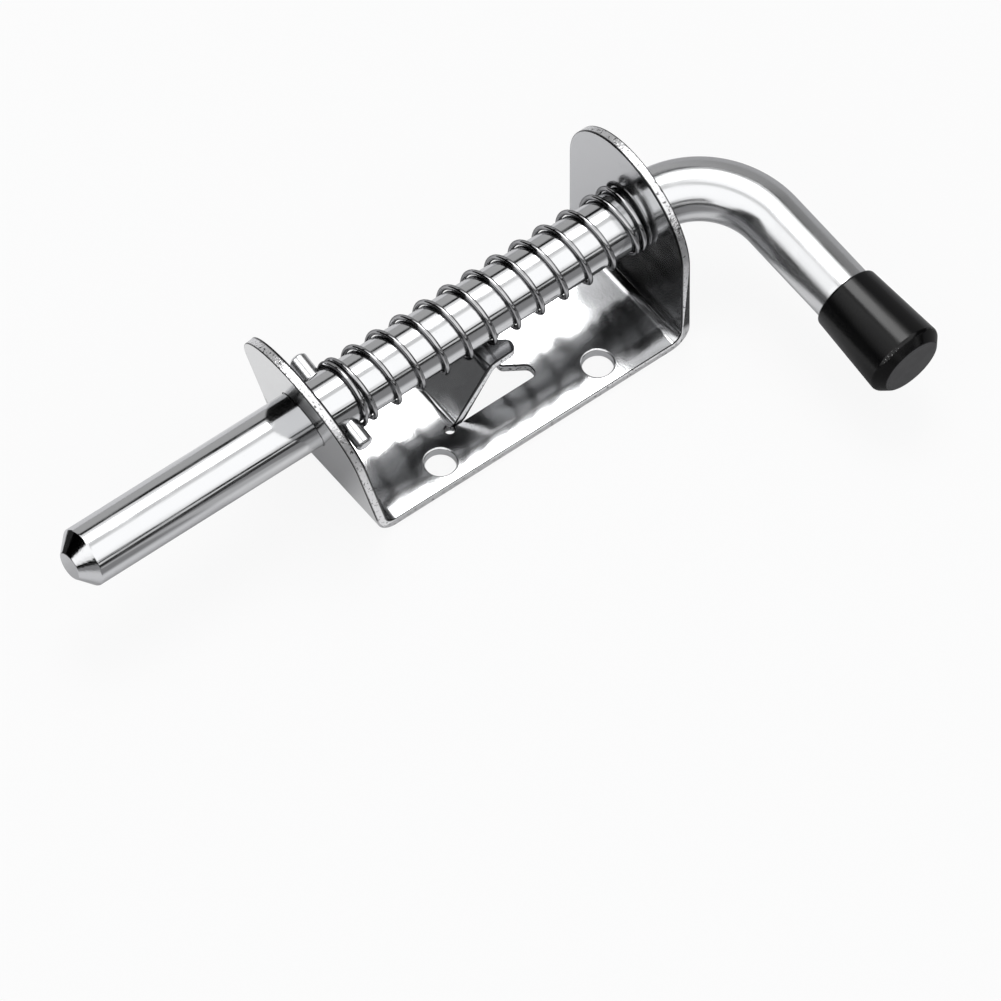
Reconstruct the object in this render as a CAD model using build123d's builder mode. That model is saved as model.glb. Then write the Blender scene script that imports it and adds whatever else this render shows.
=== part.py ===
from build123d import *
import os
from math import cos, pi, radians, sin, sqrt, tan

# A spring bolt on a folded sheet bracket, in millimetres. The base plate lies on Z = 0 with
# its middle at the origin, the bolt runs along X, its tip points to -X and its handle to -Y.

# Folded sheet of the bracket
sheet = 2.0
base_length = 71.7
base_width = 34.0
bend_inside = 2.4
ear_shoulder = 24.0
front_lean = 13.2

# Screw holes through the base
hole_diameter = 6.0
hole_spacing_x = 36.5
hole_spacing_y = 24.0
hole_roll = 0.4

# Tongue lanced out of the base, which holds the bolt open
tongue_width = 14.4
tongue_root = 10.9
tongue_rise = 55.7
tongue_height = 14.4
tongue_pad = 5.8
tongue_bend_inside = 2.0
horn_round = 1.4
notch_mouth = 9.0
notch_floor = 3.0
notch_round = 1.2
notch_depth = 4.4
lance_gap = 0.2
lance_stretch = 1.4
relief_diameter = 2.0

# Bolt rod, bent into the handle behind the rear ear
rod_diameter = 12.0
rod_height = 22.0
bore_clearance = 0.1
tip_reach = 58.95
tip_chamfer = 3.2
corner_reach = 19.15
rod_bend = 17.0
handle_turn = 86.7
handle_drop = 7.0
handle_length = 55.6

# Cross pin pressed through the rod behind the front ear
pin_diameter = 3.6
pin_length = 21.6
pin_setback = 2.55
pin_drop = 10.6
pin_chamfer = 0.5

# Compression spring between the pin and the rear ear
wire_diameter = 1.0
wire_sides = 8
coil_clearance = 0.2
coil_start = -5.0
front_closed_turns = 1.3
open_turns = 11.3
rear_closed_turns = 1.0
closed_gap = 0.2
seat_gap = 0.05

# Cap pushed over the handle's end
cap_mouth_diameter = 13.7
cap_widest_diameter = 15.9
cap_face_diameter = 12.0
cap_length = 19.0
cap_bevel = 2.0
cap_end_wall = 4.0
cap_round = 0.5

# Places that follow from the sizes
rod_radius = rod_diameter / 2
bore_radius = rod_radius + bore_clearance
sheet_middle = sheet / 2
ear_middle_x = (base_length - sheet) / 2
rear_face_x = ear_middle_x - sheet_middle
ear_arc = ear_shoulder - sheet_middle
ear_reach = ear_arc + base_width / 2
lean = radians(front_lean)
rear_foot = Vector(ear_middle_x, 0, sheet_middle)
rear_up = Vector(0, 0, 1)
front_foot = Vector(-ear_middle_x, 0, sheet_middle)
front_up = Vector(-sin(lean), 0, cos(lean))
front_face_x = front_foot.X - (rod_height - sheet_middle) * tan(lean) + sheet_middle / cos(lean)


def side_point(point):
    """A point of the X-Z plane as the two coordinates of a side-view sketch."""
    return (point.X, point.Z)


def tongue_plan(root_x, end_x, half_width):
    """Plan of the tongue: two rounded horns beside the notch that seats the cross pin."""
    floor_x = end_x - notch_depth
    rounds = [0, horn_round, horn_round, notch_round, notch_round, horn_round, horn_round, 0]
    with BuildSketch() as plan:
        with BuildLine():
            FilletPolyline(
                (root_x, -half_width),
                (end_x, -half_width),
                (end_x, -notch_mouth / 2),
                (floor_x, -notch_floor / 2),
                (floor_x, notch_floor / 2),
                (end_x, notch_mouth / 2),
                (end_x, half_width),
                (root_x, half_width),
                radius=rounds,
                close=True,
            )
        make_face()
    return plan.sketch


# The tongue alone: a bent strip, trimmed to its plan
tongue_bend = tongue_bend_inside + sheet_middle
tongue_strip_x = -tongue_root - tongue_bend
tongue_middle_z = tongue_height - sheet_middle
tongue_crease_x = -tongue_root + (tongue_middle_z - sheet_middle) / tan(radians(tongue_rise))
tongue_end_x = tongue_crease_x + tongue_pad
with BuildPart() as tongue:
    with BuildSketch(Plane.XZ):
        with BuildLine() as tongue_line:
            FilletPolyline(
                (tongue_strip_x, sheet_middle),
                (-tongue_root, sheet_middle),
                (tongue_crease_x, tongue_middle_z),
                (tongue_end_x, tongue_middle_z),
                radius=tongue_bend,
            )
        trace(line_width=sheet)
    extrude(amount=base_width / 2, both=True)
    with BuildSketch(Plane.XY):
        add(tongue_plan(tongue_strip_x, tongue_end_x, tongue_width / 2 - lance_gap))
    extrude(amount=tongue_height, mode=Mode.INTERSECT)

# The slot that the tongue leaves has the tongue's plan laid flat, less what the folds stretched
slot_root_x = -tongue_root - tongue_bend * tan(radians(tongue_rise) / 2)
slot_end_x = tongue_strip_x + sum(edge.length for edge in tongue_line.edges()) - lance_stretch

# The bracket: one folded strip with two round-topped ears, four screw holes and the tongue
with BuildPart() as bracket:
    with BuildSketch(Plane.XZ):
        with BuildLine():
            FilletPolyline(
                side_point(rear_foot + rear_up * ear_reach),
                side_point(rear_foot),
                side_point(front_foot),
                side_point(front_foot + front_up * ear_reach),
                radius=bend_inside + sheet_middle,
            )
        trace(line_width=sheet)
    extrude(amount=base_width / 2, both=True)
    for foot, up in ((rear_foot, rear_up), (front_foot, front_up)):
        across = Vector(0, 1, 0)
        with BuildSketch(Plane(origin=foot, x_dir=across, z_dir=across.cross(up))):
            with Locations((0, ear_arc + base_width / 2)):
                Rectangle(2 * base_width, base_width)
            with Locations((0, ear_arc)):
                Circle(base_width / 2, mode=Mode.SUBTRACT)
        extrude(amount=sheet, both=True, mode=Mode.SUBTRACT)
    with BuildSketch(Plane.YZ):
        with Locations((0, rod_height)):
            Circle(bore_radius)
    extrude(amount=base_length, both=True, mode=Mode.SUBTRACT)
    with BuildSketch(Plane.XY):
        add(tongue_plan(slot_root_x, slot_end_x, tongue_width / 2))
        with Locations((slot_root_x, -tongue_width / 2), (slot_root_x, tongue_width / 2)):
            Circle(relief_diameter / 2)
    extrude(amount=sheet, mode=Mode.SUBTRACT)
    add(tongue.part)
    with BuildSketch(Plane.XY):
        with GridLocations(hole_spacing_x, hole_spacing_y, 2, 2):
            Circle(hole_diameter / 2)
        with Locations((slot_root_x, -tongue_width / 2), (slot_root_x, tongue_width / 2)):
            Circle(relief_diameter / 2)
    extrude(amount=sheet, mode=Mode.SUBTRACT)
    rims = bracket.edges().filter_by(GeomType.CIRCLE).filter_by_position(Axis.Z, sheet, sheet)
    fillet(rims.filter_by(lambda rim: abs(rim.radius - hole_diameter / 2) < hole_roll), hole_roll)

# The bolt: one round bar, chamfered at its tip and bent into the handle
turn = radians(handle_turn)
drop = radians(handle_drop)
handle_way = Vector(cos(turn), -sin(turn) * cos(drop), -sin(turn) * sin(drop))
tip = Vector(-base_length / 2 - tip_reach, 0, rod_height)
corner = Vector(base_length / 2 + corner_reach, 0, rod_height)
cap_face = corner + handle_way * handle_length
cap_mouth = cap_face - handle_way * cap_length
rod_end = cap_face - handle_way * cap_end_wall
pin_radius = pin_diameter / 2
pin_tilt = radians(pin_drop)
pin_middle = Vector(front_face_x + pin_setback + pin_radius, 0, rod_height)
pin_plane = Plane(origin=pin_middle, x_dir=(1, 0, 0), z_dir=(0, cos(pin_tilt), sin(pin_tilt)))
with BuildPart() as bolt_rod:
    with BuildLine():
        FilletPolyline(tip, corner, rod_end, radius=rod_bend)
    with BuildSketch(Plane(origin=tip, z_dir=(1, 0, 0))):
        Circle(rod_radius)
    sweep()
    chamfer(bolt_rod.edges().filter_by(GeomType.CIRCLE).sort_by(Axis.X).first, tip_chamfer)
    with BuildSketch(pin_plane):
        Circle(pin_radius)
    extrude(amount=rod_diameter, both=True, mode=Mode.SUBTRACT)

# The cross pin, pressed into the rod's own hole
with BuildPart() as cross_pin:
    with BuildSketch(pin_plane):
        Circle(pin_radius)
    extrude(amount=pin_length / 2, both=True)
    chamfer(cross_pin.edges().filter_by(GeomType.CIRCLE), pin_chamfer)

# The spring: one wire, eight-sided with the round wire's area, wound with its end turns closed
wire_corner = wire_diameter / 2 * sqrt(pi / (wire_sides * sin(pi / wire_sides) * cos(pi / wire_sides)))
coil_radius = rod_radius + coil_clearance + wire_diameter / 2
coil_front_x = pin_middle.X + pin_radius + seat_gap + wire_corner
coil_rear_x = rear_face_x - seat_gap - wire_corner
closed_pitch = 2 * wire_corner + closed_gap
closed_run = closed_pitch * (front_closed_turns + rear_closed_turns)
open_pitch = (coil_rear_x - coil_front_x - closed_run) / open_turns
coil_place = Location(Plane(origin=(coil_front_x, 0, rod_height), x_dir=(0, 1, 0), z_dir=(1, 0, 0)))
coil_pieces = []
run_wound = 0
turns_wound = 0
for pitch, turns in (
    (closed_pitch, front_closed_turns),
    (open_pitch, open_turns),
    (closed_pitch, rear_closed_turns),
):
    start = Pos(0, 0, run_wound) * Rot(0, 0, coil_start + 360 * turns_wound)
    coil_pieces += (coil_place * start * Helix(pitch, pitch * turns, coil_radius)).edges()
    run_wound += pitch * turns
    turns_wound += turns
coil_line = Wire(coil_pieces)
with BuildPart() as spring:
    with BuildSketch(Plane(origin=coil_line @ 0, z_dir=coil_line % 0)):
        RegularPolygon(wire_corner, wire_sides)
    sweep(path=coil_line, is_frenet=True)

# The cap: a tapered blind sleeve with a bevelled end
with BuildPart() as handle_cap:
    with BuildSketch(Plane(origin=cap_mouth, x_dir=handle_way, z_dir=handle_way.cross(rear_up))):
        with BuildLine():
            FilletPolyline(
                (0, rod_radius),
                (0, cap_mouth_diameter / 2),
                (cap_length - cap_bevel, cap_widest_diameter / 2),
                (cap_length, cap_face_diameter / 2),
                (cap_length, 0),
                (cap_length - cap_end_wall, 0),
                (cap_length - cap_end_wall, rod_radius),
                radius=[0, cap_round, cap_round, cap_round, 0, 0, 0],
                close=True,
            )
        make_face()
    revolve(axis=Axis(cap_mouth, handle_way))

os.makedirs("parts", exist_ok=True)
bracket.part.label = "bracket"
export_step(bracket.part, "parts/bracket.step")
bolt_rod.part.label = "bolt_rod"
export_step(bolt_rod.part, "parts/bolt_rod.step")
cross_pin.part.label = "cross_pin"
export_step(cross_pin.part, "parts/cross_pin.step")
spring.part.label = "spring"
export_step(spring.part, "parts/spring.step")
handle_cap.part.label = "handle_cap"
export_step(handle_cap.part, "parts/handle_cap.step")
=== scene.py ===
from math import atan2, cos, radians, sin, tan, tau

import bmesh
import bpy
from mathutils import Matrix, Vector


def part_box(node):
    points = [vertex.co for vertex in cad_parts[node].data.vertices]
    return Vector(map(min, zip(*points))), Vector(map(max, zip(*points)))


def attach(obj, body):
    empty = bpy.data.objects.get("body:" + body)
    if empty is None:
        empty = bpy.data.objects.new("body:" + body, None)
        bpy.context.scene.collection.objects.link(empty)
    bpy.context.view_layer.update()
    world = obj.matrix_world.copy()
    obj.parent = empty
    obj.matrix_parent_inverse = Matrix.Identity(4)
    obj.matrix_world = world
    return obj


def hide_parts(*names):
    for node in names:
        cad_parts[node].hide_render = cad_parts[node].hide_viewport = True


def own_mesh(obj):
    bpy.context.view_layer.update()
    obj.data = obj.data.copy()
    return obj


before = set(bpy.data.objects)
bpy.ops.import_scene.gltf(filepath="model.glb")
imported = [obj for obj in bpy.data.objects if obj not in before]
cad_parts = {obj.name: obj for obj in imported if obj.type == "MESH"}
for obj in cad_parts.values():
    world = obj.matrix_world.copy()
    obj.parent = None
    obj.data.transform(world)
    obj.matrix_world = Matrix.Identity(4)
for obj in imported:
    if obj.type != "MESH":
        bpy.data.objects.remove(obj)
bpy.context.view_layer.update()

# The view. The photograph looks down on the bolt past its tip, from so far away that nothing
# shrinks with distance. The camera is aimed beside the bolt, which puts it where it lies in
# the photograph: left of the middle and in the upper half.
view_azimuth = radians(-37.36)
view_elevation = radians(55.57)
view_distance = 8.0
frame_pixels = 1001
pixels_per_metre = 5430
aimed_at = Vector((-0.01615, 0, 0.022))
aimed_at_pixel = (410.0, 352.2)
camera_data = bpy.data.cameras.new("camera")
camera_data.lens = pixels_per_metre * view_distance * camera_data.sensor_width / frame_pixels
camera_data.clip_end = 2 * view_distance
camera = bpy.data.objects.new("camera", camera_data)
to_camera = Vector(
    (
        sin(view_azimuth) * cos(view_elevation),
        -cos(view_azimuth) * cos(view_elevation),
        sin(view_elevation),
    )
)
frame_right = Vector((cos(view_azimuth), sin(view_azimuth), 0))
frame_up = to_camera.cross(frame_right)
step_right = (frame_pixels / 2 - aimed_at_pixel[0]) / pixels_per_metre
step_down = (frame_pixels / 2 - aimed_at_pixel[1]) / pixels_per_metre
camera.location = aimed_at + frame_right * step_right - frame_up * step_down + to_camera * view_distance
camera.rotation_mode = "QUATERNION"
camera.rotation_quaternion = (-to_camera).to_track_quat("-Z", "Y")
bpy.context.scene.collection.objects.link(camera)
bpy.context.scene.camera = camera

# The bracket: one strip of 2 mm steel, blanked, pierced and folded up at both ends, with the
# notched tongue lanced out of its base. It is bright plated after forming, so its broad faces
# mirror the bolt in smoky shapes, and its sheared edges are bright but torn and pitted.
sheet_thickness = 0.002
edge_round = 0.00013
fold_angle = radians(35)
same_point = 0.000002
same_plane = radians(0.3)
flat_face_weight = 80


def skin_faces(work, way):
    """The faces that run on smoothly from the largest flat one that faces a way."""
    seed = max(work.faces, key=lambda face: face.normal.dot(way) * face.calc_area())
    skin = {seed}
    reached = [seed]
    while reached:
        for edge in reached.pop().edges:
            if edge.calc_face_angle(0) < fold_angle:
                for other in edge.link_faces:
                    if other not in skin:
                        skin.add(other)
                        reached.append(other)
    return skin


def sharp_edges(work, angle):
    """The edges where two faces meet at more than an angle."""
    return [edge for edge in work.edges if edge.calc_face_angle(0) > angle]


def eased(work, edges, offset, segments):
    """Rounds edges off, or chamfers them with one segment. Returns the new faces."""
    made = bmesh.ops.bevel(
        work,
        geom=edges,
        offset=offset,
        offset_type="OFFSET",
        segments=segments,
        profile=0.5,
        material=-1,
        affect="EDGES",
        clamp_overlap=False,
    )
    return made["faces"]


sheet = bmesh.new()
sheet.from_mesh(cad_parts["bracket"].data)
bmesh.ops.remove_doubles(sheet, verts=sheet.verts, dist=same_point)
bmesh.ops.dissolve_limit(sheet, angle_limit=same_plane, verts=sheet.verts, edges=sheet.edges, delimit=set())
upper_skin = skin_faces(sheet, Vector((0, 0, 1)))
lower_skin = skin_faces(sheet, Vector((0, 0, -1)))
through = sheet.verts.layers.float.new("through_sheet")
for face in lower_skin:
    for corner in face.verts:
        corner[through] = 1.0
for face in sheet.faces:
    face.material_index = 0 if face in upper_skin or face in lower_skin else 1
for face in eased(sheet, sharp_edges(sheet, fold_angle), edge_round, 3):
    face.material_index = 1


def add_node(tree, kind, inputs=None, **settings):
    """Adds a node to a tree, with its inputs by name or number and its own settings."""
    made = tree.nodes.new(kind)
    for name, value in settings.items():
        setattr(made, name, value)
    for name, value in (inputs or {}).items():
        if isinstance(value, bpy.types.NodeSocket):
            tree.links.new(value, made.inputs[name])
        else:
            made.inputs[name].default_value = value
    return made


def maths(tree, operation, *values):
    """One arithmetic step on node outputs and numbers."""
    return add_node(tree, "ShaderNodeMath", dict(enumerate(values)), operation=operation).outputs[0]


def product(tree, first, *others):
    """Masks and numbers multiplied with each other."""
    for other in others:
        first = maths(tree, "MULTIPLY", first, other)
    return first


def strongest(tree, first, *others):
    """The strongest of several masks and numbers."""
    for other in others:
        first = maths(tree, "MAXIMUM", first, other)
    return first


def ramp(tree, value, low, high, out_low=0.0, out_high=1.0):
    """A smooth step of a value from low to high."""
    step = add_node(
        tree,
        "ShaderNodeMapRange",
        {0: value, 1: low, 2: high, 3: out_low, 4: out_high},
        interpolation_type="SMOOTHSTEP",
    )
    return step.outputs[0]


def axes(tree, point):
    """The three coordinates of a point, by their letters."""
    return add_node(tree, "ShaderNodeSeparateXYZ", {0: point}).outputs


def noise(tree, point, scale, detail=2):
    """Soft random mottling, scale patches to the metre."""
    inputs = {"Vector": point, "Scale": scale, "Detail": detail}
    return add_node(tree, "ShaderNodeTexNoise", inputs).outputs[0]


def stretched(tree, point, stretch, turn=0.0):
    """A point turned about Z and drawn out, so that patterns on it become streaks."""
    inputs = {"Vector": point, "Rotation": (0, 0, turn), "Scale": stretch}
    return add_node(tree, "ShaderNodeMapping", inputs).outputs[0]


def streaks(tree, point, stretch, detail, turn=0.0):
    """Noise drawn out into streaks, stretch patches to the metre along each axis."""
    return noise(tree, stretched(tree, point, stretch, turn), 1, detail)


def mixed(tree, share, first, second):
    """A colour between two, by a share from 0 to 1."""
    return add_node(tree, "ShaderNodeMix", {0: share, 6: first, 7: second}, data_type="RGBA").outputs[2]


def object_point(tree):
    """The place on the piece itself."""
    return add_node(tree, "ShaderNodeTexCoord").outputs["Object"]


def own_attribute(tree, name):
    """A pattern coordinate that is stored in the piece's mesh."""
    return add_node(tree, "ShaderNodeAttribute", attribute_name=name)


haze_scale = 150
haze_share = (0.42, 0.68)
pit_scale = 1400
pit_patch_scale = 420
pit_patch_share = (0.56, 0.76)
pit_reach = 0.34
pit_rim = (0.0, 0.08)
draw_line_scale = 2300
scratch_ways = (radians(24), radians(-41), radians(78))
scratch_stretch = (70, 2600, 2600)
scratch_share = (0.73, 0.79)
worn_reach = 0.00035
worn_turn = (0.995, 0.9)
worn_scale = 900
worn_share = (0.38, 0.62)
worn_least = 0.25
nick_scale = 1900
nick_share = (0.6, 0.68)
spoiled_roughness = 0.3
scratch_roughness = 0.12
worn_roughness = 0.08
spoiled_height = -1.5
scratch_height = -0.5


def plate_marks():
    """Marks that all the plated steel has: haze, pits, draw lines, hairline scratches and worn edges."""
    group = bpy.data.node_groups.new("plate_marks", "ShaderNodeTree")
    for name in ("Point", "Stretch"):
        group.interface.new_socket(name=name, in_out="INPUT", socket_type="NodeSocketVector")
    for name in ("Haze", "Pits", "Hairlines", "Wear"):
        group.interface.new_socket(name=name, in_out="INPUT", socket_type="NodeSocketFloat")
    for name in ("Clean", "Worn", "Roughness", "Height"):
        group.interface.new_socket(name=name, in_out="OUTPUT", socket_type="NodeSocketFloat")
    given = add_node(group, "NodeGroupInput").outputs
    point = given["Point"]
    hazed = product(group, ramp(group, noise(group, point, haze_scale, 5), *haze_share), given["Haze"])

    pits = add_node(group, "ShaderNodeTexVoronoi", {"Vector": point, "Scale": pit_scale})
    pit_size = ramp(group, noise(group, point, pit_patch_scale), *pit_patch_share, 0.0, pit_reach)
    in_pit = ramp(group, maths(group, "SUBTRACT", pit_size, pits.outputs["Distance"]), *pit_rim)
    pitted = product(group, in_pit, given["Pits"])

    drawn_out = {0: point, 1: given["Stretch"]}
    drawn_point = add_node(group, "ShaderNodeVectorMath", drawn_out, operation="MULTIPLY").outputs[0]
    drawn = noise(group, drawn_point, draw_line_scale, 3)
    hairs = [streaks(group, point, scratch_stretch, 1, turn) for turn in scratch_ways]
    scratched = strongest(group, *[ramp(group, hair, *scratch_share) for hair in hairs])
    scratched = product(group, scratched, given["Hairlines"])

    rounded = add_node(group, "ShaderNodeBevel", {"Radius": worn_reach}, samples=4).outputs[0]
    straight = add_node(group, "ShaderNodeNewGeometry").outputs["Normal"]
    facing = add_node(group, "ShaderNodeVectorMath", {0: rounded, 1: straight}, operation="DOT_PRODUCT")
    edge = product(group, ramp(group, facing.outputs["Value"], *worn_turn), given["Wear"])
    rubbed = ramp(group, noise(group, point, worn_scale, 4), *worn_share, worn_least, 1.0)
    worn = product(group, edge, rubbed)
    nicked = product(group, edge, ramp(group, noise(group, point, nick_scale), *nick_share))

    spoiled = strongest(group, pitted, nicked)
    rough = maths(group, "MULTIPLY_ADD", spoiled, spoiled_roughness, hazed)
    rough = maths(group, "MULTIPLY_ADD", scratched, scratch_roughness, rough)
    rough = maths(group, "MULTIPLY_ADD", worn, worn_roughness, rough)
    height = maths(group, "MULTIPLY_ADD", spoiled, spoiled_height, drawn)
    height = maths(group, "MULTIPLY_ADD", scratched, scratch_height, height)
    put_out = add_node(group, "NodeGroupOutput")
    group.links.new(maths(group, "SUBTRACT", 1.0, spoiled), put_out.inputs["Clean"])
    group.links.new(worn, put_out.inputs["Worn"])
    group.links.new(rough, put_out.inputs["Roughness"])
    group.links.new(height, put_out.inputs["Height"])
    return group


marks = plate_marks()
plate_colour = (0.74, 0.745, 0.755, 1)
worn_colour = (0.9, 0.9, 0.91, 1)
pit_colour = (0.03, 0.03, 0.032, 1)


def new_material(name):
    """A material with its node tree and its shader."""
    material = bpy.data.materials.new(name)
    material.use_nodes = True
    return material, material.node_tree, material.node_tree.nodes["Principled BSDF"]


def plated(tree, shader, point, colour, smooth, stretch, haze, pits, hairlines, wear, depth, shape=None):
    """Lays the plate's finish on a shader. Shape is the normal that the fine marks lie on."""
    shader.inputs["Metallic"].default_value = 1.0
    amounts = {"Haze": haze, "Pits": pits, "Hairlines": hairlines, "Wear": wear}
    inputs = {"Point": point, "Stretch": stretch, **amounts}
    seen = add_node(tree, "ShaderNodeGroup", inputs, node_tree=marks).outputs
    tint = mixed(tree, seen["Clean"], pit_colour, mixed(tree, seen["Worn"], colour, worn_colour))
    tree.links.new(tint, shader.inputs["Base Color"])
    tree.links.new(maths(tree, "ADD", seen["Roughness"], smooth), shader.inputs["Roughness"])
    marked = {"Height": seen["Height"], "Distance": depth}
    if shape:
        marked["Normal"] = shape
    tree.links.new(add_node(tree, "ShaderNodeBump", marked).outputs["Normal"], shader.inputs["Normal"])


def finished(work, name, materials):
    """Makes an object of a finished bmesh, smooth with its flat faces kept flat."""
    mesh = bpy.data.meshes.new(name)
    work.to_mesh(mesh)
    work.free()
    for layer in ("custom_normal", "sharp_face", "sharp_edge"):
        if layer in mesh.attributes:
            mesh.attributes.remove(mesh.attributes[layer])
    mesh.shade_smooth()
    for material in materials:
        mesh.materials.append(material)
    piece = bpy.data.objects.new(name, mesh)
    bpy.context.scene.collection.objects.link(piece)
    level = piece.modifiers.new("flat faces", "WEIGHTED_NORMAL")
    level.keep_sharp = False
    level.weight = flat_face_weight
    return piece


rear_ear_from = 0.02
rear_ear_lean = radians(3)
roll_over_from = 0.012
roll_over_curve = 12
base_skin_z = (0.009, 0.003)
dent_scale = 55
dent_depth = 0.00055
peel_scale = 2600
peel_depth = 0.000009


def plated_sheet_face():
    """Rolled sheet under bright plate: not quite flat, so it mirrors the bolt in smoky shapes."""
    material, tree, shader = new_material("plated_sheet_face")
    point = object_point(tree)
    place = axes(tree, point)
    on_base = ramp(tree, place["Z"], *base_skin_z)

    on_rear_ear = maths(tree, "GREATER_THAN", place["X"], rear_ear_from)
    above_base = strongest(tree, maths(tree, "SUBTRACT", place["Z"], sheet_thickness), 0.0)
    lean = product(tree, on_rear_ear, above_base, -tan(rear_ear_lean))
    from_middle = maths(tree, "ABSOLUTE", place["Y"])
    near_edge = strongest(tree, maths(tree, "SUBTRACT", from_middle, roll_over_from), 0.0)
    rolled = product(tree, near_edge, near_edge, on_base)
    formed = maths(tree, "MULTIPLY_ADD", rolled, -roll_over_curve, lean)
    leant = add_node(tree, "ShaderNodeBump", {"Height": formed, "Distance": 1.0}).outputs["Normal"]

    dents = {"Height": noise(tree, point, dent_scale), "Distance": dent_depth, "Strength": on_base}
    dented = add_node(tree, "ShaderNodeBump", {**dents, "Normal": leant}).outputs["Normal"]
    peel = {"Height": noise(tree, point, peel_scale), "Distance": peel_depth, "Strength": on_base}
    peeled = add_node(tree, "ShaderNodeBump", {**peel, "Normal": dented}).outputs["Normal"]
    plated(
        tree, shader, point, plate_colour, smooth=0.12, stretch=(1, 0.1, 1), haze=0.05, pits=0.3,
        hairlines=0.15, wear=0.6, depth=0.000001, shape=peeled,
    )
    return material


# The near black of the painted shade that lines the arrises of the sheared edges.
arris_painted_shade_colour = (0.02, 0.02, 0.021, 1)
cut_colour = (0.9, 0.9, 0.91, 1)
ragged_scale = 700
ragged_reach = 0.5
torn_from = (0.36, 0.6)
tear_scale = 2300
tear_depth = 0.00011
crumb_scale = 1700
crumb_share = (0.57, 0.66)
crumb_dark = -0.85
upper_arris = (0.14, 0.28)
lower_arris = (0.95, 0.8)
base_edge_z = (0.006, 0.004)
base_edge_less_shade = 0.6


def plated_sheet_cut():
    """Sheared edge under bright plate: burnished where the punch went in, torn below, with painted shade
    along both arrises.
    """
    material, tree, shader = new_material("plated_sheet_cut")
    point = object_point(tree)
    depth_in = own_attribute(tree, "through_sheet").outputs["Fac"]
    ragged = maths(tree, "MULTIPLY_ADD", noise(tree, point, ragged_scale), ragged_reach, depth_in)
    torn = ramp(tree, ragged, *torn_from)
    tear = {"Height": product(tree, noise(tree, point, tear_scale, 4), torn), "Distance": tear_depth}
    crumbs = product(tree, ramp(tree, noise(tree, point, crumb_scale, 3), *crumb_share), torn)

    # Painted shade: a dark line along the upper arris and the lower one, fainter on the base's outer edges.
    # The dark crumbs in the torn zone are real.
    on_base_edge = ramp(tree, axes(tree, point)["Z"], *base_edge_z, 0.0, base_edge_less_shade)
    off_lower_arris = strongest(tree, ramp(tree, depth_in, *lower_arris), on_base_edge)
    clear_of_crumbs_and_edge_shade = product(tree, ramp(tree, depth_in, *upper_arris), off_lower_arris)
    clear_of_crumbs_and_edge_shade = product(tree, clear_of_crumbs_and_edge_shade, maths(tree, "MULTIPLY_ADD", crumbs, crumb_dark, 1.0))
    plated(
        tree, shader, point, mixed(tree, clear_of_crumbs_and_edge_shade, arris_painted_shade_colour, cut_colour), smooth=0.26,
        stretch=(1, 1, 0.2), haze=0.1, pits=0.8, hairlines=0.0, wear=0.0, depth=0.000006,
        shape=add_node(tree, "ShaderNodeBump", tear).outputs["Normal"],
    )
    return material


bracket = finished(sheet, "bracket_folded", [plated_sheet_face(), plated_sheet_cut()])
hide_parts("bracket")
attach(bracket, "bracket")

# The bolt: one bar of drawn 12 mm steel, chamfered in a lathe at its tip and bent cold into
# the handle. It is bright plated, with fine draw lines along it, and the cold bend and the
# handle behind it are a little dull where the stretched skin broke up.
axis_height = 0.022
bar_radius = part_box("bolt_rod")[1].z - axis_height
bar_sides = 128
tip_chamfer = 0.0032
tip_round = 0.0002
corner_x = 0.055
bend_radius = 0.017
bend_steps = 48
handle_turn = radians(86.7)
handle_drop = radians(7.0)
handle_reach = 0.0516
tip_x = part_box("bolt_rod")[0].x
bar_way = Vector((1, 0, 0))
handle_way = Vector(
    (cos(handle_turn), -sin(handle_turn) * cos(handle_drop), -sin(handle_turn) * sin(handle_drop))
)
bend_reach = bend_radius * tan(handle_turn / 2)
bend_start = Vector((corner_x - bend_reach, 0, axis_height))
bend_out = (bar_way * handle_way.x - handle_way).normalized()
bend_centre = bend_start - bend_out * bend_radius
bend_axis = bend_out.cross(bar_way)


def edges_among(parts):
    """The edges among the parts of a bmesh."""
    return [part for part in parts if isinstance(part, bmesh.types.BMEdge)]


def drawn_on(work, ring, way, widen=1.0, centre=None):
    """Extrudes a ring of edges, widens the new ring about a centre and moves it. Returns it."""
    made = bmesh.ops.extrude_edge_only(work, edges=ring)["geom"]
    points = [part for part in made if isinstance(part, bmesh.types.BMVert)]
    if widen != 1.0:
        bmesh.ops.scale(work, vec=(widen, widen, widen), space=Matrix.Translation(-centre), verts=points)
    bmesh.ops.translate(work, vec=way, verts=points)
    return [edge for edge in edges_among(made) if len(edge.link_faces) == 1]


def place_on_bar(point):
    """Length along the bar's bent middle line, and the offset from it outwards and sideways."""
    from_centre = point - bend_centre
    sideways = from_centre.dot(bend_axis)
    flat = from_centre - bend_axis * sideways
    angle = atan2(flat.dot(bar_way), flat.dot(bend_out))
    if flat.dot(bar_way) < 0:
        return Vector((flat.dot(bar_way), flat.dot(bend_out) - bend_radius, sideways))
    if angle < handle_turn:
        return Vector((bend_radius * angle, flat.length - bend_radius, sideways))
    end_out = bend_out * cos(handle_turn) + bar_way * sin(handle_turn)
    run = bend_radius * handle_turn + flat.dot(handle_way)
    return Vector((run, flat.dot(end_out) - bend_radius, sideways))


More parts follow.
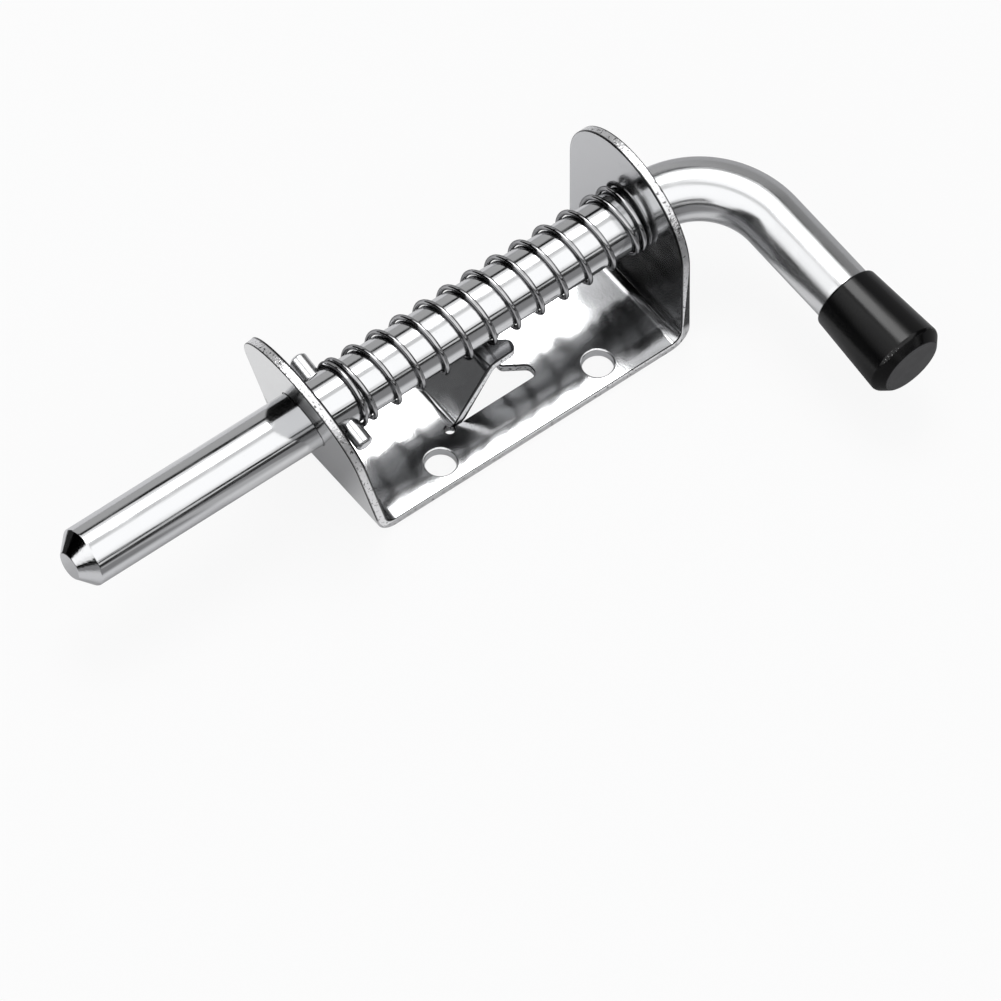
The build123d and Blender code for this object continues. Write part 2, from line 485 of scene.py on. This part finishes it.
bar = bmesh.new()
tip_centre = Vector((tip_x, 0, axis_height))
bmesh.ops.create_circle(
    bar,
    cap_ends=True,
    segments=bar_sides,
    radius=bar_radius - tip_chamfer,
    matrix=Matrix.Translation(tip_centre) @ Matrix.Rotation(radians(90), 4, "Y"),
)
tip_rim = list(bar.edges)
widening = bar_radius / (bar_radius - tip_chamfer)
shoulder = drawn_on(bar, tip_rim, bar_way * tip_chamfer, widening, tip_centre)
ring = drawn_on(bar, shoulder, bar_way * (bend_start.x - tip_x - tip_chamfer))
spun = bmesh.ops.spin(
    bar, geom=ring, cent=bend_centre, axis=bend_axis, dvec=(0, 0, 0), angle=handle_turn, steps=bend_steps
)
ring = drawn_on(bar, edges_among(spun["geom_last"]), handle_way * (handle_reach - bend_reach))
bmesh.ops.contextual_create(bar, geom=ring)
eased(bar, tip_rim + shoulder + ring, tip_round, 3)
bmesh.ops.recalc_face_normals(bar, faces=bar.faces)
along_bar = bar.verts.layers.float_vector.new("along_bar")
for corner in bar.verts:
    corner[along_bar] = place_on_bar(corner.co)

bend_skin_from = (-0.006, 0.004)
straight_smooth = 0.09
bend_dullness = 0.07
streak_stretch = (12, 700, 700)
streak_depth = 0.000025


def plated_bar():
    """Drawn bar under bright plate: long draw lines, mirror bright, duller from the bend on."""
    material, tree, shader = new_material("plated_bar")
    place = own_attribute(tree, "along_bar").outputs["Vector"]
    bent = ramp(tree, axes(tree, place)["X"], *bend_skin_from)
    streaked = {"Height": streaks(tree, place, streak_stretch, 2), "Distance": streak_depth}
    plated(
        tree, shader, place, plate_colour,
        smooth=maths(tree, "MULTIPLY_ADD", bent, bend_dullness, straight_smooth),
        stretch=(0.02, 1, 1), haze=0.06, pits=0.08, hairlines=0.12, wear=0.5, depth=0.000012,
        shape=add_node(tree, "ShaderNodeBump", streaked).outputs["Normal"],
    )
    return material


bolt = finished(bar, "bolt_bar", [plated_bar()])
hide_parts("bolt_rod")
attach(bolt, "bolt")

# The cross pin: a turned pin with chamfered ends, pressed through the bar. It stops the bolt
# at the front ear, carries the spring, and hooks behind the tongue when the bolt is drawn.
pin_low, pin_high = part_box("cross_pin")
pin_centre = (pin_low + pin_high) / 2
pin_radius = (pin_high.x - pin_low.x) / 2
pin_length = 0.0216
pin_drop = radians(10.6)
pin_sides = 64
pin_chamfer = 0.0005
pin_round = 0.00008
pin_edge_angle = radians(30)
pin_way = Vector((0, cos(pin_drop), sin(pin_drop)))
pin = bmesh.new()
bmesh.ops.create_cone(
    pin,
    cap_ends=True,
    cap_tris=False,
    segments=pin_sides,
    radius1=pin_radius,
    radius2=pin_radius,
    depth=pin_length,
    matrix=Matrix.Translation(pin_centre) @ pin_way.to_track_quat("Z", "X").to_matrix().to_4x4(),
)
eased(pin, sharp_edges(pin, pin_edge_angle), pin_chamfer, 1)
eased(pin, sharp_edges(pin, pin_edge_angle), pin_round, 2)


def plated_pin():
    """Turned pin under bright plate, with rings of fine tool marks and rubbed edges."""
    material, tree, shader = new_material("plated_pin")
    plated(
        tree, shader, object_point(tree), plate_colour, smooth=0.13, stretch=(0.2, 1, 1), haze=0.08,
        pits=0.3, hairlines=0.2, wear=0.5, depth=0.000006,
    )
    return material


cross_pin = finished(pin, "cross_pin_turned", [plated_pin()])
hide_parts("cross_pin")
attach(cross_pin, "bolt")

# The spring: round 1 mm wire, coiled open, with its end turns closed. It pushes the cross pin
# away from the rear ear, where it stays when the bolt is drawn.
wire_radius = 0.0005
wire_sides = 16
coil_radius = 0.0067
coil_start = radians(-5)
closed_pitch = 0.00125
front_closed_turns = 1.3
open_turns = 11.3
rear_closed_turns = 1.0
steps_per_turn = 48
wire_colour = (0.5, 0.5, 0.51, 1)
# Painted shade: a dark edge tint that darkens the wire towards its outlines.
wire_rim_painted_shade_tint = (0.15, 0.15, 0.15, 1)
spring_low, spring_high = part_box("spring")
front_x = spring_low.x + wire_radius
rear_x = spring_high.x - wire_radius
open_pitch = (rear_x - front_x - closed_pitch * (front_closed_turns + rear_closed_turns)) / open_turns
start_way = Vector((0, cos(coil_start), sin(coil_start)))
wire_start = Vector((front_x, 0, axis_height)) + start_way * coil_radius
wire_turn = bar_way.cross(start_way).to_track_quat("Z", "X").to_matrix().to_4x4()
coil = bmesh.new()
bmesh.ops.create_circle(
    coil,
    cap_ends=True,
    segments=wire_sides,
    radius=wire_radius,
    matrix=Matrix.Translation(wire_start) @ wire_turn,
)
ring = list(coil.edges)
for pitch, turns in (
    (closed_pitch, front_closed_turns),
    (open_pitch, open_turns),
    (closed_pitch, rear_closed_turns),
):
    steps = round(steps_per_turn * turns)
    spun = bmesh.ops.spin(
        coil,
        geom=ring,
        cent=(0, 0, axis_height),
        axis=bar_way,
        dvec=(pitch * turns / steps, 0, 0),
        angle=tau * turns,
        steps=steps,
    )
    ring = edges_among(spun["geom_last"])
bmesh.ops.contextual_create(coil, geom=ring)
bmesh.ops.recalc_face_normals(coil, faces=coil.faces)


def spring_wire():
    """Hard drawn spring wire under thin plate: darker than the rest, with scuffs from coiling."""
    material, tree, shader = new_material("spring_wire")
    # Painted shade: the dark edge tint darkens the wire's reflection towards its outlines.
    shader.inputs["Specular Tint"].default_value = wire_rim_painted_shade_tint
    plated(
        tree, shader, object_point(tree), wire_colour, smooth=0.09, stretch=(1, 1, 1), haze=0.08,
        pits=0.2, hairlines=0.2, wear=0.0, depth=0.000004,
    )
    return material


spring = finished(coil, "spring_coiled", [spring_wire()])
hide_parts("spring")
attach(spring, "bracket")
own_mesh(spring)

# The cap: a black moulded sleeve with a blind end, pushed over the handle. It is satin black
# as moulded and duller on its end, whose paler grey is painted light, and its rim is rubbed
# where it has been handled.
cap_length = 0.019
cap_end_wall = 0.004
cap_bevel = 0.002
cap_round = 0.0005
cap_mouth_radius = 0.00685
cap_widest_radius = 0.00795
cap_face_radius = 0.006
cap_sides = 96
cap_mouth = Vector((corner_x, 0, axis_height)) + handle_way * (handle_reach + cap_end_wall - cap_length)
cap_side = handle_way.cross(Vector((0, 0, 1))).normalized()
cap_up = cap_side.cross(handle_way)
cap_outline = (
    (cap_length - cap_end_wall, 0),
    (cap_length - cap_end_wall, bar_radius),
    (0, bar_radius),
    (0, cap_mouth_radius),
    (cap_length - cap_bevel, cap_widest_radius),
    (cap_length, cap_face_radius),
    (cap_length, 0),
)
sleeve = bmesh.new()
outline = [sleeve.verts.new(cap_mouth + handle_way * run + cap_side * out) for run, out in cap_outline]
for ends in zip(outline, outline[1:]):
    sleeve.edges.new(ends)
bmesh.ops.bevel(
    sleeve,
    geom=outline[3:6],
    offset=cap_round,
    offset_type="OFFSET",
    segments=5,
    profile=0.5,
    material=-1,
    affect="VERTICES",
)
bmesh.ops.spin(
    sleeve,
    geom=list(sleeve.verts) + list(sleeve.edges),
    cent=cap_mouth,
    axis=handle_way,
    dvec=(0, 0, 0),
    angle=tau,
    steps=cap_sides,
    use_merge=True,
)
bmesh.ops.remove_doubles(sleeve, verts=sleeve.verts, dist=same_point)
bmesh.ops.recalc_face_normals(sleeve, faces=sleeve.faces)
along_cap = sleeve.verts.layers.float_vector.new("along_cap")
for corner in sleeve.verts:
    from_mouth = corner.co - cap_mouth
    corner[along_cap] = (from_mouth.dot(handle_way), from_mouth.dot(cap_side), from_mouth.dot(cap_up))

moulded_colour = (0.002, 0.002, 0.0022, 1)
# Painted light: the paler grey that stands for the light the end face catches.
end_face_painted_light_colour = (0.1, 0.1, 0.103, 1)
rubbed_colour = (0.5, 0.5, 0.5, 1)
cap_gloss = 0.31
rim_reach = (0.0004, 0.0001)
speck_scale = 3300
speck_share = (0.6, 0.67)
rub_scale = 170
rub_share = (0.46, 0.56)
smear_stretch = (45, 260, 260)
smear_share = (0.35, 0.65)
smear_roughness = (0.15, 0.24)
end_roughness = 0.2
rub_roughness = 0.3
rub_height = 4.0
grain_scale = 2600
mould_line_stretch = (60, 1500, 1500)
grain_depth = 0.000006
end_from = (cap_length - 0.0003, cap_length - 0.0001)


def black_cap():
    """Black moulded cap: fine mould lines along it, smears of handling and a rubbed rim."""
    material, tree, shader = new_material("black_cap")
    place = own_attribute(tree, "along_cap").outputs["Vector"]
    run = axes(tree, place)["X"]
    from_rim = maths(tree, "ABSOLUTE", maths(tree, "SUBTRACT", run, cap_length - cap_bevel))
    rubbed = product(
        tree,
        ramp(tree, from_rim, *rim_reach),
        ramp(tree, noise(tree, place, speck_scale), *speck_share),
        ramp(tree, noise(tree, place, rub_scale), *rub_share),
    )
    # On the end face the paler grey is painted light. Its added roughness is its duller finish.
    at_end = ramp(tree, run, *end_from)
    moulded = mixed(tree, at_end, moulded_colour, end_face_painted_light_colour)
    tree.links.new(mixed(tree, rubbed, moulded, rubbed_colour), shader.inputs["Base Color"])
    shader.inputs["Specular IOR Level"].default_value = cap_gloss

    rough = ramp(tree, streaks(tree, place, smear_stretch, 3), *smear_share, *smear_roughness)
    rough = maths(tree, "MULTIPLY_ADD", at_end, end_roughness, rough)
    rough = maths(tree, "MULTIPLY_ADD", rubbed, rub_roughness, rough)
    tree.links.new(rough, shader.inputs["Roughness"])

    grain = noise(tree, place, grain_scale, 3)
    height = maths(tree, "ADD", grain, streaks(tree, place, mould_line_stretch, 2))
    height = maths(tree, "MULTIPLY_ADD", rubbed, rub_height, height)
    shape = add_node(tree, "ShaderNodeBump", {"Height": height, "Distance": grain_depth})
    tree.links.new(shape.outputs["Normal"], shader.inputs["Normal"])
    return material


cap = finished(sleeve, "handle_cap_moulded", [black_cap()])
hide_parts("handle_cap")
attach(cap, "bolt")

# The floor: pale matt paper, far wider than the view. The camera sees it white, with the faint
# shadow that lies under the bolt. The steel sees it grey, dark away from the bolt and under the
# bar, and lit white in two patches, beside the front ear and along the base's near edge.
floor_half = 2.0
floor_drop = 0.0002
floor_white = 0.9
plain_white = (1, 1, 1, 1)
paper_colour = (0.6, 0.6, 0.61, 1)
shade_colour = (0.02, 0.02, 0.02, 1)
near_front_y = (-0.024, -0.046)
near_front_shade = 0.66
far_front_y = (-0.2, -0.35)
far_left_x = (-0.15, -0.3)
right_x = (0.058, 0.07)
right_shade = 0.4
bar_middle_y = 0.004
bar_half_width = (0.013, 0.006)
bar_from_x = (-0.044, -0.052)
bar_shade = 0.3
past_tip_x = (-0.098, -0.108)
past_tip_y = (0.01, 0.03)
patch_glow = 0.85
ear_patch_left_x = (-0.056, -0.05)
ear_patch_right_x = (-0.024, -0.03)
behind_bar_y = (0.004, 0.02)
behind_bar_glow = (0.05, 0.75)
ear_patch_end_y = (0.06, 0.045)
before_bar_y = (-0.002, -0.012)
before_bar_glow = 0.35
edge_patch_half_x = (0.05, 0.042)
edge_patch_near_y = (-0.028, -0.024)
edge_patch_far_y = (-0.012, -0.016)
edge_patch_glow = 0.52
floor_mesh = bpy.data.meshes.new("floor")
paper = bmesh.new()
bmesh.ops.create_grid(paper, x_segments=1, y_segments=1, size=floor_half)
bmesh.ops.translate(paper, vec=(0, 0, -floor_drop), verts=paper.verts)
paper.to_mesh(floor_mesh)
paper.free()
floor = bpy.data.objects.new("floor", floor_mesh)
bpy.context.scene.collection.objects.link(floor)


def floor_shade(tree, x, y):
    """Where the paper lies in shade, as the steel sees it."""
    from_bar = maths(tree, "ABSOLUTE", maths(tree, "SUBTRACT", y, bar_middle_y))
    under_bar = product(tree, ramp(tree, from_bar, *bar_half_width), ramp(tree, x, *bar_from_x), bar_shade)
    return strongest(
        tree,
        product(tree, ramp(tree, y, *near_front_y), near_front_shade),
        ramp(tree, y, *far_front_y),
        ramp(tree, x, *far_left_x),
        product(tree, ramp(tree, x, *right_x), right_shade),
        product(tree, ramp(tree, x, *past_tip_x), ramp(tree, y, *past_tip_y)),
        under_bar,
    )


def floor_patches(tree, x, y):
    """Where the paper is lit white, as the steel sees it."""
    behind_bar = product(
        tree, ramp(tree, y, *behind_bar_y, *behind_bar_glow), ramp(tree, y, *ear_patch_end_y)
    )
    before_bar = ramp(tree, y, *before_bar_y, 0.0, before_bar_glow)
    by_ear = product(
        tree,
        ramp(tree, x, *ear_patch_left_x),
        ramp(tree, x, *ear_patch_right_x),
        maths(tree, "ADD", behind_bar, before_bar),
    )
    by_edge = product(
        tree,
        ramp(tree, maths(tree, "ABSOLUTE", x), *edge_patch_half_x),
        ramp(tree, y, *edge_patch_near_y),
        ramp(tree, y, *edge_patch_far_y, 0.0, edge_patch_glow),
    )
    return strongest(tree, by_ear, by_edge)


def floor_paper():
    """Matt paper that shows white to the camera."""
    material = bpy.data.materials.new("floor_paper")
    material.use_nodes = True
    tree = material.node_tree
    tree.nodes.clear()
    path = add_node(tree, "ShaderNodeLightPath").outputs
    seen = path["Is Camera Ray"]
    place = axes(tree, object_point(tree))
    shaded = floor_shade(tree, place["X"], place["Y"])
    shaded = product(tree, shaded, maths(tree, "SUBTRACT", 1.0, seen))
    shown = mixed(tree, shaded, paper_colour, shade_colour)
    dull = add_node(tree, "ShaderNodeBsdfDiffuse", {"Color": shown})
    glow = strongest(tree, seen, patch_glow)
    white = add_node(tree, "ShaderNodeEmission", {"Color": plain_white, "Strength": glow})
    mirrored = product(tree, path["Is Glossy Ray"], floor_patches(tree, place["X"], place["Y"]))
    share = maths(tree, "MULTIPLY_ADD", seen, floor_white, mirrored)
    both = add_node(tree, "ShaderNodeMixShader", {0: share, 1: dull.outputs[0], 2: white.outputs[0]})
    add_node(tree, "ShaderNodeOutputMaterial", {"Surface": both.outputs[0]})
    return material


floor_mesh.materials.append(floor_paper())

# The tent: soft light from a white roof with a bright panel and a seam, over a thin dark gap, a
# grey back wall and a dark front with one pale strip, which the bar and the wire mirror as bands.
# The rim rises to the back and right, the left is dark, and what is mirrored twice is dimmer.
roof_level = 1.3
rim_level = 0.92
rim_edge = (-0.02, 0.03)
rim_to_roof = (0.0, 0.22)
front_rim_z = sin(radians(17.5))
back_rim_rise = 0.37
right_rim_rise = 0.32
left_rim_rise = -0.19
dark_corner_rise = 0.5
to_back_y = (0.05, 0.55)
to_right_x = (0.45, 0.75)
to_left_x = (-0.45, -0.8)
left_end_y = (0.25, 0.05)
dark_corner_x = (-0.27, -0.34)
dark_corner_y = (0.28, 0.42)
panel_level = 6.5
panel_way = Vector((0.2, 0.3, 0.93)).normalized()
panel_edge = (0.955, 0.985)
seam_z = 0.945
seam_half_width = (0.04, 0.008)
seam_dark = 0.46
gap_size = 0.12
right_gap_more = 0.04
gap_edge = (0.0, -0.03)
back_wall_level = 0.44
side_wall_level = 0.04
wall_to_back_y = (0.0, 0.5)
dark_left_x = (-0.5, -0.75)
right_wall_dark = 0.25
strip_level = 0.72
strip_bottom_z = (0.09, 0.12)
strip_top_z = (0.21, 0.18)
strip_front_y = (-0.3, -0.6)
twice_mirrored = (1.4, 1.6)
thrice_mirrored = (2.4, 2.6)
wall_mirrored_twice = 0.5
light_mirrored_twice = 0.8
light_mirrored_thrice = 0.15


def tent_roof(tree, way, above_rim, looked):
    """The roof's light: paler towards its rim, with a faint seam and a bright panel."""
    roof = product(
        tree, ramp(tree, above_rim, *rim_edge), ramp(tree, above_rim, *rim_to_roof, rim_level, roof_level)
    )
    toward = add_node(tree, "ShaderNodeVectorMath", {0: looked, 1: panel_way}, operation="DOT_PRODUCT")
    in_panel = ramp(tree, toward.outputs["Value"], *panel_edge)
    off_seam = maths(tree, "ABSOLUTE", maths(tree, "SUBTRACT", way["Z"], seam_z))
    seam = ramp(tree, off_seam, *seam_half_width, 0.0, seam_dark)
    seam = product(tree, seam, maths(tree, "SUBTRACT", 1.0, in_panel))
    roof = product(tree, roof, maths(tree, "SUBTRACT", 1.0, seam))
    return maths(tree, "MULTIPLY_ADD", in_panel, panel_level - roof_level, roof)


def studio_tent():
    """The world that lights the bolt, by the direction looked in."""
    world = bpy.data.worlds.new("tent")
    world.use_nodes = True
    tree = world.node_tree
    tree.nodes.clear()
    looked = add_node(tree, "ShaderNodeTexCoord").outputs["Generated"]
    way = axes(tree, looked)
    path = add_node(tree, "ShaderNodeLightPath").outputs
    bounces = path["Glossy Depth"]

    at_back = ramp(tree, way["Y"], *to_back_y)
    at_right = ramp(tree, way["X"], *to_right_x)
    at_left = product(tree, ramp(tree, way["X"], *to_left_x), ramp(tree, way["Y"], *left_end_y))
    dark_corner = product(tree, ramp(tree, way["X"], *dark_corner_x), ramp(tree, way["Y"], *dark_corner_y))
    rim_z = maths(tree, "MULTIPLY_ADD", at_back, back_rim_rise, front_rim_z)
    rim_z = maths(tree, "MULTIPLY_ADD", at_right, right_rim_rise, rim_z)
    rim_z = maths(tree, "MULTIPLY_ADD", at_left, left_rim_rise, rim_z)
    rim_z = maths(tree, "MULTIPLY_ADD", dark_corner, dark_corner_rise, rim_z)
    above_rim = maths(tree, "SUBTRACT", way["Z"], rim_z)

    gap = maths(tree, "MULTIPLY_ADD", at_right, right_gap_more, gap_size)
    under_gap = ramp(tree, maths(tree, "ADD", above_rim, gap), *gap_edge)
    dark_left = ramp(tree, way["X"], *dark_left_x)
    dark_wall = strongest(tree, dark_corner, dark_left, product(tree, at_right, right_wall_dark))
    wall = product(
        tree,
        under_gap,
        ramp(tree, way["Y"], *wall_to_back_y, side_wall_level, back_wall_level),
        maths(tree, "SUBTRACT", 1.0, dark_wall),
        ramp(tree, bounces, *twice_mirrored, 1.0, wall_mirrored_twice),
    )
    in_strip = product(
        tree,
        ramp(tree, way["Z"], *strip_bottom_z),
        ramp(tree, way["Z"], *strip_top_z),
        ramp(tree, way["Y"], *strip_front_y),
    )
    light = maths(tree, "ADD", wall, tent_roof(tree, way, above_rim, looked))
    light = maths(tree, "MULTIPLY_ADD", in_strip, strip_level, light)
    light = product(
        tree,
        light,
        ramp(tree, bounces, *twice_mirrored, 1.0, light_mirrored_twice),
        ramp(tree, bounces, *thrice_mirrored, 1.0, light_mirrored_thrice),
    )
    lit = add_node(tree, "ShaderNodeBackground", {"Color": plain_white, "Strength": light})
    white = add_node(tree, "ShaderNodeBackground", {"Color": plain_white, "Strength": 1.0})
    both = add_node(
        tree, "ShaderNodeMixShader", {0: path["Is Camera Ray"], 1: lit.outputs[0], 2: white.outputs[0]}
    )
    add_node(tree, "ShaderNodeOutputWorld", {"Surface": both.outputs[0]})
    return world


bpy.context.scene.world = studio_tent()
bpy.context.scene.view_settings.view_transform = "Standard"
